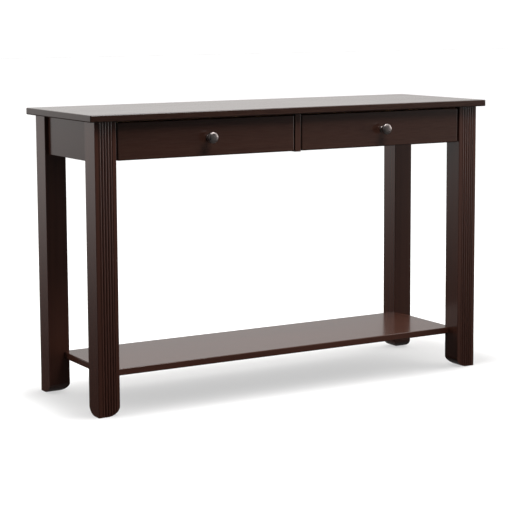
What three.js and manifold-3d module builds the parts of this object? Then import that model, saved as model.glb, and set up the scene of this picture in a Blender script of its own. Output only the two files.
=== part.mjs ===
// Console table with two drawers, a lower shelf and reeded front legs.
// Millimetres, +Z up, the drawers facing -Y, the origin on the floor under the middle of the outline.
// Pieces with a twin are drawn once for the right-hand side, and the left-hand one is its mirror image.

import * as THREE from "three";
import { mergeVertices } from "three/addons/utils/BufferGeometryUtils.js";
import Module from "manifold-3d";

const wasm = await Module();
wasm.setup();

// ---- Driving dimensions ----------------------------------------------------------------------

// Table top
const tableHeight = 762;
const topLength = 1219;
const topDepth = 406;
const topThickness = 18;
const topEdgeRadius = 3;
const topOverhang = 19;

// Legs: a square post, reeded on the front of the front pair, its foot curving up on the two inner sides
const legSide = 59;
const legCornerRadius = 1.5;
const reedCount = 5;
const reedWidth = 7.6;
const reedDepth = 3;
const footCurveRun = 34;
const footCurveRise = 21;

// Lower shelf, whose corners are thinned, housed in the legs and pinned with dowels
const shelfTopHeight = 110;
const shelfThickness = 18;
const shelfEdgeRadius = 2.5;
const shelfHousingX = 15;
const shelfHousingY = 17;
const shelfTenonThickness = 12;
const dowelRadius = 3;
const dowelLength = 30;
const dowelEndChamfer = 1;

// Apron frame: the side and rear aprons are a little deeper than the drawer front
const apronHeight = 102;
const frontHeight = 99;
const apronThickness = 18;
const apronRecess = 9;
const tenonLength = 20;
const tenonThickness = 8;
const apronTenonShoulder = 12;
const railTenonShoulder = 6;
const railThickness = 18;
const railDepth = 44;
const stileWidth = 18;
const stileDrop = 2;
const stileEdgeRadius = 1;
const stileTongueLength = 12;
const partitionHousing = 5;
const cornerBlockSide = 32;
const cornerBlockHeight = 25;

// Drawer runners
const runnerHeight = 12;
const runnerWidth = 10;
const runnerInset = 8;
const runnerScrewInset = 14;
const runnerScrewStagger = 12;

// Drawers
const frontThickness = 18;
const frontReveal = 2;
const frontEdgeRadius = 2;
const frontTopGap = 3;
const drawerLegGap = 5;
const drawerStileGap = 3;
const drawerFloorGap = 2;
const drawerHeadGap = 5;
const drawerRearSpace = 27;
const drawerSideThickness = 14;
const drawerSideHousing = 6;
const drawerBackThickness = 12;
const drawerBackHousing = 4;
const drawerBackDrop = 4;
const drawerBackInset = 2;
const drawerBottomThickness = 5;
const drawerBottomHousing = 5;
const drawerBottomRaise = 6;
const stopWidth = 30;
const stopThickness = 10;
const stopRise = 14;
const stopLap = 22;

// Knobs, turned in metal
const knobRadius = 15;
const knobLength = 28;
const knobFootRadius = 7.5;
const knobFootHeight = 2;
const knobNeckRadius = 4.8;
const knobNeckHeight = 10;
const knobUnderHeadHeight = 16;
const knobRimHeight = 22;
const knobShoulderHeight = 26.5;
const knobCrownRadius = 13;

// Screws
const woodScrewRadius = 2;
const woodScrewHeadRadius = 4;
const woodScrewHeadHeight = 2.5;
const woodScrewPointLength = 4;
const woodScrewBite = 13;
const stopScrewBite = 9;
const knobScrewRadius = 2;
const knobScrewHeadRadius = 4;
const knobScrewHeadHeight = 2.5;
const knobScrewBite = 12;

// Clearances
const fit = 0.3; // round every tenon, tongue, dowel and screw
const slideFit = 0.3; // between a runner and the top of its groove
const slideDrop = 0.7; // between a runner and the foot of its groove
const slideSide = 0.5; // between a runner and the wall of its groove
const bore = 1; // how much deeper a hole is than what it takes

// Facets
const cornerSegments = 6;
const footSegments = 14;
const edgeSegments = 4;
const knobSegments = 28;
const knobCurvePoints = 6;
const screwSegments = 12;
const dowelSegments = 16;

// ---- Planes that the pieces share ------------------------------------------------------------

const undersideZ = tableHeight - topThickness;
const legOuterX = topLength / 2 - topOverhang;
const legInnerX = legOuterX - legSide;
const legOuterY = topDepth / 2 - topOverhang;
const legInnerY = legOuterY - legSide;

const apronBottomZ = undersideZ - apronHeight;
const frontBottomZ = undersideZ - frontHeight;
const apronOuterX = legOuterX - apronRecess;
const apronInnerX = apronOuterX - apronThickness;
const rearApronOuterY = legOuterY - apronRecess;
const rearApronInnerY = rearApronOuterY - apronThickness;

const frontFaceY = -legOuterY + frontReveal;
const frontBackY = frontFaceY + frontThickness;
const railFrontY = frontBackY + slideFit;
const railRearY = railFrontY + railDepth;
const openingBottomZ = frontBottomZ + railThickness;
const openingTopZ = undersideZ - railThickness;
const openingMiddleZ = (openingBottomZ + openingTopZ) / 2;

const shelfBottomZ = shelfTopHeight - shelfThickness;
const shelfMiddleZ = shelfTopHeight - shelfThickness / 2;
const shelfTenonBottomZ = shelfMiddleZ - shelfTenonThickness / 2;
const shelfTenonTopZ = shelfMiddleZ + shelfTenonThickness / 2;
const shelfEndX = legInnerX + shelfHousingX;
const shelfEdgeY = legInnerY + shelfHousingY;

const partitionX = stileWidth / 2;
const stileTongueRearY = railFrontY + stileTongueLength;

const runnerFrontY = railFrontY + runnerInset;
const runnerRearY = rearApronInnerY - runnerInset;
const runnerBottomZ = openingMiddleZ - runnerHeight / 2;
const runnerTopZ = openingMiddleZ + runnerHeight / 2;

const drawerInnerX = partitionX + drawerStileGap;
const drawerOuterX = legInnerX - drawerLegGap;
const drawerMiddleX = (drawerInnerX + drawerOuterX) / 2;
const drawerBottomZ = openingBottomZ + drawerFloorGap;
const drawerTopZ = openingTopZ - drawerHeadGap;
const drawerRearY = rearApronInnerY - drawerRearSpace;
const drawerBackRearY = drawerRearY - drawerBackInset;
const drawerBackFrontY = drawerBackRearY - drawerBackThickness;
const drawerBackTopZ = drawerTopZ - drawerBackDrop;
const panelBottomZ = drawerBottomZ + drawerBottomRaise;
const panelTopZ = panelBottomZ + drawerBottomThickness;
const frontTopZ = undersideZ - frontTopGap;
const frontMiddleZ = (frontBottomZ + frontTopZ) / 2;

// ---- Finishes --------------------------------------------------------------------------------

const darkLacquer = { color: 0x2c1d18, roughness: 0.34, metalness: 0 };
const bareWood = { color: 0xb08a5e, roughness: 0.75, metalness: 0 };
const plywood = { color: 0xc29a6b, roughness: 0.7, metalness: 0 };
const gunmetal = { color: 0x4a4440, roughness: 0.32, metalness: 0.9 };
const zinc = { color: 0xb9bcc0, roughness: 0.38, metalness: 0.9 };

// ---- Solids ----------------------------------------------------------------------------------

// Vertices sit on a fine grid, in steps per millimetre, so that two faces in one plane meet exactly.
const gridSteps = 256;

function onGrid(value) {
  return Math.round(value * gridSteps) / gridSteps;
}

function solidOf(geometry) {
  const loose = geometry.index ? geometry.toNonIndexed() : geometry;
  const places = loose.getAttribute("position").array.map(onGrid);
  const bare = new THREE.BufferGeometry();
  bare.setAttribute("position", new THREE.BufferAttribute(places, 3));
  const merged = mergeVertices(bare);
  const vertProperties = merged.getAttribute("position").array;
  const triVerts = new Uint32Array(merged.index.array);
  return new wasm.Manifold(new wasm.Mesh({ numProp: 3, vertProperties, triVerts }));
}

function geometryOf(solid) {
  const mesh = solid.getMesh();
  const geometry = new THREE.BufferGeometry();
  geometry.setAttribute("position", new THREE.BufferAttribute(new Float32Array(mesh.vertProperties), 3));
  geometry.setIndex(new THREE.BufferAttribute(new Uint32Array(mesh.triVerts), 1));
  const shaded = geometry.toNonIndexed();
  shaded.computeVertexNormals();
  return shaded;
}

// A block between two opposite corners, given in either order.
function block([x0, y0, z0], [x1, y1, z1]) {
  const geometry = new THREE.BoxGeometry(Math.abs(x1 - x0), Math.abs(y1 - y0), Math.abs(z1 - z0));
  geometry.translate((x0 + x1) / 2, (y0 + y1) / 2, (z0 + z1) / 2);
  return solidOf(geometry);
}

// A board lying flat, with the long edges of both its faces rounded over.
function easedGeometry(length, width, thickness, radius) {
  const outline = new THREE.Shape();
  outline.moveTo(-length / 2, -width / 2);
  outline.lineTo(length / 2, -width / 2);
  outline.lineTo(length / 2, width / 2);
  outline.lineTo(-length / 2, width / 2);
  outline.closePath();
  const geometry = new THREE.ExtrudeGeometry(outline, {
    depth: thickness - 2 * radius,
    bevelThickness: radius,
    bevelSize: radius,
    bevelOffset: -radius,
    bevelSegments: edgeSegments,
  });
  geometry.translate(0, 0, radius - thickness / 2);
  return geometry;
}

// A shape drawn round the point x, y, raised from z0 to z1.
function raised(shape, z0, z1, x = 0, y = 0) {
  const geometry = new THREE.ExtrudeGeometry(shape, {
    depth: z1 - z0,
    bevelEnabled: false,
    curveSegments: cornerSegments,
  });
  geometry.translate(x, y, z0);
  return solidOf(geometry);
}

// A profile of radius against height, turned about Z with its foot at the origin.
function turned(profile, segments) {
  const points = profile.map(([radius, height]) => new THREE.Vector2(radius, height));
  const geometry = new THREE.LatheGeometry(points, segments);
  geometry.rotateX(Math.PI / 2);
  return geometry;
}

// Turns a piece that stands along +Z so that it points along another axis.
const towards = {
  up: (geometry) => geometry,
  front: (geometry) => geometry.rotateX(Math.PI / 2),
  right: (geometry) => geometry.rotateY(Math.PI / 2),
  left: (geometry) => geometry.rotateY(-Math.PI / 2),
};

function cutFrom(solid, tools) {
  return tools.reduce((left, tool) => left.subtract(tool), solid);
}

// ---- Fasteners -------------------------------------------------------------------------------

// A countersunk wood screw, from the flat of its head to its point along +Z.
function woodScrewProfile(length, clearance) {
  const shank = woodScrewRadius + clearance;
  const tip = length + clearance;
  return [
    [woodScrewHeadRadius + clearance, 0],
    [shank, woodScrewHeadHeight],
    [shank, tip - woodScrewPointLength],
    [0, tip],
  ];
}

function turnedAt(profile, direction, [x, y, z]) {
  const geometry = towards[direction](turned(profile, screwSegments));
  geometry.translate(x, y, z);
  return solidOf(geometry);
}

function woodScrew(length, direction, place) {
  return turnedAt([[0, 0], ...woodScrewProfile(length, 0)], direction, place);
}

// The hole starts a little before the face that the head lies in, so that it opens there.
function woodScrewHole(length, direction, place) {
  const mouth = woodScrewHeadRadius + fit;
  return turnedAt([[0, -bore], [mouth, -bore], ...woodScrewProfile(length, fit)], direction, place);
}

// A straight pin with chamfered ends, from its near end at the origin along +Z.
function pinGeometry(radius, length, chamfer) {
  const profile = [
    [0, 0],
    [radius - chamfer, 0],
    [radius, chamfer],
    [radius, length - chamfer],
    [radius - chamfer, length],
    [0, length],
  ];
  return turned(profile, dowelSegments);
}

function holeGeometry(radius, length) {
  const profile = [
    [0, 0],
    [radius, 0],
    [radius, length],
    [0, length],
  ];
  return turned(profile, dowelSegments);
}

const shelfDowelY = (legInnerY + shelfEdgeY) / 2;

function shelfDowelHole(side, end) {
  const outwards = side > 0 ? towards.right : towards.left;
  const geometry = outwards(holeGeometry(dowelRadius + fit, dowelLength + 2 * bore));
  geometry.translate(side * (shelfEndX - dowelLength / 2 - bore), end * shelfDowelY, shelfMiddleZ);
  return solidOf(geometry);
}

function shelfDowel(end) {
  const geometry = towards.right(pinGeometry(dowelRadius, dowelLength, dowelEndChamfer));
  geometry.translate(shelfEndX - dowelLength / 2, end * shelfDowelY, shelfMiddleZ);
  return solidOf(geometry);
}

// Where the screws lie along a runner. The right-hand inner runner's are staggered, so that they miss
// the ones that come through the partition from the left.
const runnerScrewLength = runnerWidth + woodScrewBite;
const runnerScrewY = {
  front: runnerFrontY + runnerScrewInset,
  rear: runnerRearY - runnerScrewInset,
};
const staggeredScrewY = {
  front: runnerScrewY.front + runnerScrewStagger,
  rear: runnerScrewY.rear - runnerScrewStagger,
};

const blockScrewX = apronInnerX - cornerBlockSide / 3;
const blockScrewY = legInnerY - cornerBlockSide / 3;
const blockScrewLength = cornerBlockHeight + woodScrewBite;
const blockBottomZ = undersideZ - cornerBlockHeight;
const railScrewY = (railFrontY + railRearY) / 2;
const railScrewLength = railThickness + woodScrewBite;

function blockScrewHole(side, end) {
  return woodScrewHole(blockScrewLength, "up", [side * blockScrewX, end * blockScrewY, blockBottomZ]);
}

function railScrewHole(side) {
  return woodScrewHole(railScrewLength, "up", [side * drawerMiddleX, railScrewY, openingTopZ]);
}

// ---- Top, legs and shelf ---------------------------------------------------------------------

function tabletop() {
  const geometry = easedGeometry(topLength, topDepth, topThickness, topEdgeRadius);
  geometry.translate(0, 0, tableHeight - topThickness / 2);
  const holes = [];
  for (const side of [-1, 1]) {
    holes.push(railScrewHole(side), blockScrewHole(side, -1), blockScrewHole(side, 1));
  }
  return cutFrom(solidOf(geometry), holes);
}

// The post seen from above, centred on its own axis. Reeds are round beads whose crowns are flush with
// the face, between two plain margins.
function legSection(reeded) {
  const half = legSide / 2;
  const corner = half - legCornerRadius;
  const quarter = Math.PI / 2;
  const section = new THREE.Shape();
  section.absarc(-corner, -corner, legCornerRadius, 2 * quarter, 3 * quarter);
  if (reeded) {
    const beadRadius = (reedWidth ** 2 / 4 + reedDepth ** 2) / (2 * reedDepth);
    const beadAngle = Math.asin(reedWidth / 2 / beadRadius);
    const firstReedX = (-reedCount * reedWidth) / 2;
    section.lineTo(firstReedX, -half);
    for (let reed = 0; reed < reedCount; reed += 1) {
      const middle = firstReedX + (reed + 0.5) * reedWidth;
      section.absarc(middle, beadRadius - half, beadRadius, -quarter - beadAngle, -quarter + beadAngle);
    }
    section.lineTo(-firstReedX, -half);
  }
  section.absarc(corner, -corner, legCornerRadius, -quarter, 0);
  section.absarc(corner, corner, legCornerRadius, 0, quarter);
  section.absarc(-corner, corner, legCornerRadius, quarter, 2 * quarter);
  section.closePath();
  return section;
}

// The foot's outline from one side: distance from the inner face of the leg against height. It is
// straight up the inner face, then a quarter ellipse down to the floor.
function footProfile() {
  const quarter = Math.PI / 2;
  const profile = new THREE.Shape();
  profile.moveTo(legSide, undersideZ);
  profile.lineTo(0, undersideZ);
  profile.lineTo(0, footCurveRise);
  profile.absellipse(footCurveRun, footCurveRise, footCurveRun, footCurveRise, 2 * quarter, 3 * quarter);
  profile.lineTo(legSide, 0);
  profile.closePath();
  return profile;
}

// The profile as a slab as wide as the leg. It faces the middle of the table along X, or along Y.
function footSlab(facing, end) {
  const geometry = new THREE.ExtrudeGeometry(footProfile(), {
    depth: legSide,
    bevelEnabled: false,
    curveSegments: footSegments,
  });
  geometry.rotateX(Math.PI / 2);
  if (facing === "x") {
    geometry.translate(legInnerX, end < 0 ? -legInnerY : legOuterY, 0);
  } else {
    geometry.rotateZ((end * Math.PI) / 2);
    geometry.translate(end < 0 ? legOuterX : legInnerX, end * legInnerY, 0);
  }
  return solidOf(geometry);
}

// The seat of one shelf corner, cut into the inner corner of the leg.
function shelfHousing(end) {
  return block(
    [legInnerX - bore, end * (legInnerY - bore), shelfTenonBottomZ],
    [shelfEndX + fit, end * (shelfEdgeY + fit), shelfTenonTopZ + fit],
  );
}

// What is planed off both faces of one shelf corner, so that the rest of the board butts on the leg.
function shelfShoulders(side, end) {
  const near = [side * (legInnerX - fit), end * (legInnerY - fit)];
  const far = [side * (shelfEndX + bore), end * (shelfEdgeY + bore)];
  return [
    block([...near, shelfBottomZ - bore], [...far, shelfTenonBottomZ]),
    block([...near, shelfTenonTopZ], [...far, shelfTopHeight + bore]),
  ];
}

function leg(end) {
  const front = end < 0;
  const middleX = (legInnerX + legOuterX) / 2;
  const middleY = (end * (legInnerY + legOuterY)) / 2;
  const post = raised(legSection(front), 0, undersideZ, middleX, middleY);
  const shaped = post.intersect(footSlab("x", end)).intersect(footSlab("y", end));
  const cuts = [shelfHousing(end), shelfDowelHole(1, end), sideApronTenon(end, fit)];
  if (front) {
    cuts.push(railTenon(1, frontBottomZ, fit), railTenon(1, openingTopZ, fit));
  } else {
    cuts.push(rearApronTenon(1, fit));
  }
  cuts.push(woodScrewHole(runnerScrewLength, "right", [
    legInnerX - runnerWidth,
    front ? runnerScrewY.front : runnerScrewY.rear,
    openingMiddleZ,
  ]));
  return cutFrom(shaped, cuts);
}

function lowerShelf() {
  const geometry = easedGeometry(2 * shelfEndX, 2 * shelfEdgeY, shelfThickness, shelfEdgeRadius);
  geometry.translate(0, 0, shelfMiddleZ);
  const cuts = [];
  for (const end of [-1, 1]) {
    for (const side of [-1, 1]) {
      cuts.push(shelfDowelHole(side, end), ...shelfShoulders(side, end));
    }
  }
  return cutFrom(solidOf(geometry), cuts);
}

// ---- Apron frame -----------------------------------------------------------------------------

// Tenons, and with a clearance the mortises that take them.
function sideApronTenon(end, clearance) {
  const middle = (apronInnerX + apronOuterX) / 2;
  const half = tenonThickness / 2 + clearance;
  const reach = tenonLength + (clearance ? bore : 0);
  return block(
    [middle - half, end * legInnerY, apronBottomZ + apronTenonShoulder - clearance],
    [middle + half, end * (legInnerY + reach), undersideZ - apronTenonShoulder + clearance],
  );
}

function rearApronTenon(side, clearance) {
  const middle = (rearApronInnerY + rearApronOuterY) / 2;
  const half = tenonThickness / 2 + clearance;
  const reach = tenonLength + (clearance ? bore : 0);
  return block(
    [side * legInnerX, middle - half, apronBottomZ + apronTenonShoulder - clearance],
    [side * (legInnerX + reach), middle + half, undersideZ - apronTenonShoulder + clearance],
  );
}

function railTenon(side, railBottomZ, clearance) {
  const middle = railBottomZ + railThickness / 2;
  const half = tenonThickness / 2 + clearance;
  const reach = tenonLength + (clearance ? bore : 0);
  return block(
    [side * legInnerX, railFrontY + railTenonShoulder - clearance, middle - half],
    [side * (legInnerX + reach), -legInnerY - railTenonShoulder + clearance, middle + half],
  );
}

function sideApron() {
  const board = block([apronInnerX, -legInnerY, apronBottomZ], [apronOuterX, legInnerY, undersideZ]);
  return board.add(sideApronTenon(-1, 0)).add(sideApronTenon(1, 0));
}

function rearApron() {
  const board = block(
    [-legInnerX, rearApronInnerY, apronBottomZ],
    [legInnerX, rearApronOuterY, undersideZ],
  );
  const housing = block(
    [-partitionX - fit, rearApronInnerY - bore, frontBottomZ - fit],
    [partitionX + fit, rearApronInnerY + partitionHousing + fit, undersideZ + bore],
  );
  return board.add(rearApronTenon(-1, 0)).add(rearApronTenon(1, 0)).subtract(housing);
}

function frontRail(railBottomZ) {
  const board = block(
    [-legInnerX, railFrontY, railBottomZ],
    [legInnerX, railRearY, railBottomZ + railThickness],
  );
  return board.add(railTenon(-1, railBottomZ, 0)).add(railTenon(1, railBottomZ, 0));
}

function frontTopRail() {
  return cutFrom(frontRail(openingTopZ), [railScrewHole(-1), railScrewHole(1)]);
}

// The upright between the drawers. A tongue behind it reaches back between the two rails.
function centreStile() {
  const quarter = Math.PI / 2;
  const corner = partitionX - stileEdgeRadius;
  const edgeY = frontFaceY + stileEdgeRadius;
  const section = new THREE.Shape();
  section.moveTo(partitionX, railFrontY);
  section.lineTo(-partitionX, railFrontY);
  section.absarc(-corner, edgeY, stileEdgeRadius, 2 * quarter, 3 * quarter);
  section.absarc(corner, edgeY, stileEdgeRadius, -quarter, 0);
  section.closePath();
  const face = raised(section, frontBottomZ - stileDrop, undersideZ);
  const tongue = block(
    [-partitionX, railFrontY, openingBottomZ],
    [partitionX, stileTongueRearY, openingTopZ],
  );
  return face.add(tongue);
}

// The board behind the stile that carries both inner runners. Its nose is held between the rails.
function centrePartition() {
  const board = block(
    [-partitionX, railRearY, frontBottomZ],
    [partitionX, rearApronInnerY + partitionHousing, undersideZ],
  );
  const nose = block(
    [-partitionX, stileTongueRearY, openingBottomZ],
    [partitionX, railRearY, openingTopZ],
  );
  return cutFrom(board.add(nose), innerRunnerScrewHoles());
}

function innerRunnerScrewPlace(side, end) {
  const y = side > 0 ? staggeredScrewY[end] : runnerScrewY[end];
  return [side * (partitionX + runnerWidth), y, openingMiddleZ];
}

function innerRunnerScrewHoles() {
  const holes = [];
  for (const end of ["front", "rear"]) {
    holes.push(woodScrewHole(runnerScrewLength, "left", innerRunnerScrewPlace(1, end)));
    holes.push(woodScrewHole(runnerScrewLength, "right", innerRunnerScrewPlace(-1, end)));
  }
  return holes;
}

// A glue block under the top, in the corner between a leg and a side apron.
function cornerBlock(end) {
  const outline = new THREE.Shape();
  outline.moveTo(0, 0);
  outline.lineTo(-cornerBlockSide, 0);
  outline.lineTo(0, -end * cornerBlockSide);
  outline.closePath();
  const wedge = raised(outline, blockBottomZ, undersideZ, apronInnerX, end * legInnerY);
  return wedge.subtract(blockScrewHole(1, end));
}

// ---- Drawer runners --------------------------------------------------------------------------

// The strip that spans the two legs of one side.
function outerRunner() {
  const strip = block(
    [legInnerX - runnerWidth, runnerFrontY, runnerBottomZ],
    [legInnerX, runnerRearY, runnerTopZ],
  );
  const holes = Object.values(runnerScrewY).map((y) =>
    woodScrewHole(runnerScrewLength, "right", [legInnerX - runnerWidth, y, openingMiddleZ]),
  );
  return cutFrom(strip, holes);
}

// The strip on one face of the centre partition.
function innerRunner(side) {
  const strip = block(
    [side * partitionX, runnerFrontY, runnerBottomZ],
    [side * (partitionX + runnerWidth), runnerRearY, runnerTopZ],
  );
  return cutFrom(strip, innerRunnerScrewHoles());
}

// ---- Drawers ---------------------------------------------------------------------------------

function drawerFront() {
  const length = drawerOuterX - drawerInnerX;
  const geometry = easedGeometry(length, frontTopZ - frontBottomZ, frontThickness, frontEdgeRadius);
  geometry.rotateX(Math.PI / 2);
  geometry.translate(drawerMiddleX, (frontFaceY + frontBackY) / 2, frontMiddleZ);
  return cutFrom(solidOf(geometry), [
    sideHousing(drawerInnerX, drawerInnerX + drawerSideThickness),
    sideHousing(drawerOuterX - drawerSideThickness, drawerOuterX),
    bottomPanel(fit),
    knobScrewHole(),
  ]);
}

// The slot in the back of the drawer front that takes the end of one side.
function sideHousing(x0, x1) {
  return block(
    [x0 - fit, frontBackY - drawerSideHousing - fit, drawerBottomZ - fit],
    [x1 + fit, frontBackY + bore, drawerTopZ + fit],
  );
}

// One side of the drawer, grooved outside for its runner and inside for the bottom and the back.
function drawerSide(x0, x1, grooveX, gap) {
  const board = block(
    [x0, frontBackY - drawerSideHousing, drawerBottomZ],
    [x1, drawerRearY, drawerTopZ],
  );
  const depth = runnerWidth - gap + slideSide;
  const groove = block(
    [grooveX - depth, runnerFrontY - slideSide, runnerBottomZ - slideDrop],
    [grooveX + depth, drawerRearY + bore, runnerTopZ + slideFit],
  );
  return cutFrom(board, [groove, bottomPanel(fit), drawerBackBoard(fit)]);
}

function drawerOuterSide() {
  return drawerSide(drawerOuterX - drawerSideThickness, drawerOuterX, drawerOuterX, drawerLegGap);
}

function drawerInnerSide() {
  return drawerSide(drawerInnerX, drawerInnerX + drawerSideThickness, drawerInnerX, drawerStileGap);
}

// The thin panel in the grooves of the front and the sides, running out under the back.
function bottomPanel(clearance) {
  const inset = drawerSideThickness - drawerBottomHousing;
  return block(
    [
      drawerInnerX + inset - clearance,
      frontBackY - drawerBottomHousing - clearance,
      panelBottomZ - clearance,
    ],
    [
      drawerOuterX - inset + clearance,
      drawerBackRearY + (clearance ? drawerBackInset + bore : 0),
      panelTopZ + clearance,
    ],
  );
}

function drawerBackBoard(clearance) {
  const inset = drawerSideThickness - drawerBackHousing;
  return block(
    [drawerInnerX + inset - clearance, drawerBackFrontY - clearance, panelTopZ],
    [
      drawerOuterX - inset + clearance,
      drawerBackRearY + clearance,
      drawerBackTopZ + (clearance ? drawerBackDrop + bore : 0),
    ],
  );
}

function drawerBack() {
  return drawerBackBoard(0).subtract(stopScrewHole());
}

// The block screwed on behind the back once the drawer is in. It meets the top rail at full opening.
const stopTopZ = drawerTopZ + stopRise;
const stopBottomZ = drawerBackTopZ - stopLap;
const stopRearY = drawerBackRearY + stopThickness;
const stopScrewZ = drawerBackTopZ - stopLap / 2;
const stopScrewLength = stopThickness + stopScrewBite;

function drawerStop() {
  const board = block(
    [drawerMiddleX - stopWidth / 2, drawerBackRearY, stopBottomZ],
    [drawerMiddleX + stopWidth / 2, stopRearY, stopTopZ],
  );
  return board.subtract(stopScrewHole());
}

function stopScrewHole() {
  return woodScrewHole(stopScrewLength, "front", [drawerMiddleX, stopRearY, stopScrewZ]);
}

function stopScrew() {
  return woodScrew(stopScrewLength, "front", [drawerMiddleX, stopRearY, stopScrewZ]);
}

// ---- Knobs -----------------------------------------------------------------------------------

// A mushroom knob: a flared foot, a narrow neck and a domed head with a rounded rim.
function knobProfile() {
  const outline = new THREE.Path();
  outline.moveTo(0, 0);
  outline.lineTo(knobFootRadius, 0);
  outline.lineTo(knobFootRadius, knobFootHeight);
  outline.quadraticCurveTo(knobNeckRadius, knobFootHeight, knobNeckRadius, knobNeckHeight);
  outline.bezierCurveTo(
    knobNeckRadius, knobUnderHeadHeight,
    knobRadius, knobUnderHeadHeight,
    knobRadius, knobRimHeight,
  );
  outline.bezierCurveTo(knobRadius, knobShoulderHeight, knobCrownRadius, knobLength, 0, knobLength);
  return outline.getPoints(knobCurvePoints).map((point) => [Math.max(0, point.x), point.y]);
}

function knob() {
  const geometry = towards.front(turned(knobProfile(), knobSegments));
  geometry.translate(drawerMiddleX, frontFaceY, frontMiddleZ);
  return solidOf(geometry).subtract(knobScrewHole());
}

// The machine screw that holds the knob, its round head inside the drawer.
const knobScrewLength = frontThickness + knobScrewBite;

function knobScrew() {
  const profile = [
    [0, -knobScrewHeadHeight],
    [knobScrewHeadRadius * 0.6, -knobScrewHeadHeight],
    [knobScrewHeadRadius, -knobScrewHeadHeight * 0.4],
    [knobScrewHeadRadius, 0],
    [knobScrewRadius, 0],
    [knobScrewRadius, knobScrewLength],
    [0, knobScrewLength],
  ];
  const geometry = towards.front(turned(profile, dowelSegments));
  geometry.translate(drawerMiddleX, frontBackY, frontMiddleZ);
  return solidOf(geometry);
}

function knobScrewHole() {
  const geometry = towards.front(holeGeometry(knobScrewRadius + fit, knobScrewLength + 2 * bore));
  geometry.translate(drawerMiddleX, frontBackY + bore, frontMiddleZ);
  return solidOf(geometry);
}

// ---- Assembly --------------------------------------------------------------------------------

const table = new THREE.Group();

// Adds one piece. A side of -1 mirrors what was drawn for the right-hand side.
function addPiece(parent, name, solid, finish, side = 1) {
  const mesh = new THREE.Mesh(geometryOf(solid), new THREE.MeshStandardMaterial(finish));
  mesh.name = name;
  mesh.scale.x = side;
  parent.add(mesh);
}

const sides = { left: -1, right: 1 };
const ends = { front: -1, rear: 1 };

function addTopAndShelf() {
  addPiece(table, "tabletop", tabletop(), darkLacquer);
  addPiece(table, "lower_shelf", lowerShelf(), darkLacquer);
}

function addCorner(sideName, endName) {
  const side = sides[sideName];
  const end = ends[endName];
  const corner = `${endName}_${sideName}`;
  const screwPlace = [blockScrewX, end * blockScrewY, blockBottomZ];
  addPiece(table, `${corner}_leg`, leg(end), darkLacquer, side);
  addPiece(table, `${corner}_shelf_dowel`, shelfDowel(end), bareWood, side);
  addPiece(table, `${corner}_corner_block`, cornerBlock(end), bareWood, side);
  addPiece(table, `${corner}_block_screw`, woodScrew(blockScrewLength, "up", screwPlace), zinc, side);
}

function addApronFrame() {
  addPiece(table, "rear_apron", rearApron(), darkLacquer);
  addPiece(table, "front_top_rail", frontTopRail(), bareWood);
  addPiece(table, "front_bottom_rail", frontRail(frontBottomZ), darkLacquer);
  addPiece(table, "centre_stile", centreStile(), darkLacquer);
  addPiece(table, "centre_partition", centrePartition(), bareWood);
  for (const [name, side] of Object.entries(sides)) {
    const screw = woodScrew(railScrewLength, "up", [drawerMiddleX, railScrewY, openingTopZ]);
    addPiece(table, `${name}_apron`, sideApron(), darkLacquer, side);
    addPiece(table, `${name}_rail_screw`, screw, zinc, side);
  }
}

function addRunners(sideName) {
  const side = sides[sideName];
  const inwards = side > 0 ? "left" : "right";
  addPiece(table, `${sideName}_outer_runner`, outerRunner(), bareWood, side);
  addPiece(table, `${sideName}_inner_runner`, innerRunner(side), bareWood);
  for (const end of Object.keys(ends)) {
    const outerPlace = [legInnerX - runnerWidth, runnerScrewY[end], openingMiddleZ];
    const outer = woodScrew(runnerScrewLength, "right", outerPlace);
    const inner = woodScrew(runnerScrewLength, inwards, innerRunnerScrewPlace(side, end));
    addPiece(table, `${sideName}_outer_runner_${end}_screw`, outer, zinc, side);
    addPiece(table, `${sideName}_inner_runner_${end}_screw`, inner, zinc);
  }
}

function addDrawer(sideName) {
  const side = sides[sideName];
  const drawer = new THREE.Group();
  addPiece(drawer, `${sideName}_drawer_front`, drawerFront(), darkLacquer, side);
  addPiece(drawer, `${sideName}_drawer_outer_side`, drawerOuterSide(), bareWood, side);
  addPiece(drawer, `${sideName}_drawer_inner_side`, drawerInnerSide(), bareWood, side);
  addPiece(drawer, `${sideName}_drawer_back`, drawerBack(), bareWood, side);
  addPiece(drawer, `${sideName}_drawer_bottom`, bottomPanel(0), plywood, side);
  addPiece(drawer, `${sideName}_drawer_stop`, drawerStop(), bareWood, side);
  addPiece(drawer, `${sideName}_stop_screw`, stopScrew(), zinc, side);
  addPiece(drawer, `${sideName}_knob`, knob(), gunmetal, side);
  addPiece(drawer, `${sideName}_knob_screw`, knobScrew(), zinc, side);
  table.add(drawer);
}

addTopAndShelf();
addApronFrame();
for (const sideName of Object.keys(sides)) {
  for (const endName of Object.keys(ends)) {
    addCorner(sideName, endName);
  }
  addRunners(sideName);
  addDrawer(sideName);
}

// The knobs stand out past the top, so the table moves back by half of that to centre its outline.
const knobTipY = frontFaceY - knobLength;
table.position.y = onGrid(Math.max(0, -knobTipY - topDepth / 2) / 2);

export default table;
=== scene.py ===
"""Looks of a two-drawer console table with a lower shelf and reeded front legs.

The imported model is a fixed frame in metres, +Z up, with the drawers facing -Y. Every board, leg,
knob and screw is modelled again at the place that the frame gives, dressed in its finish, and rides
on the body that carries it.
"""

import logging
import math
from collections.abc import Callable, Sequence
from dataclasses import dataclass, replace
from enum import Enum

import bmesh
import bpy
from mathutils import Matrix, Vector


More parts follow.
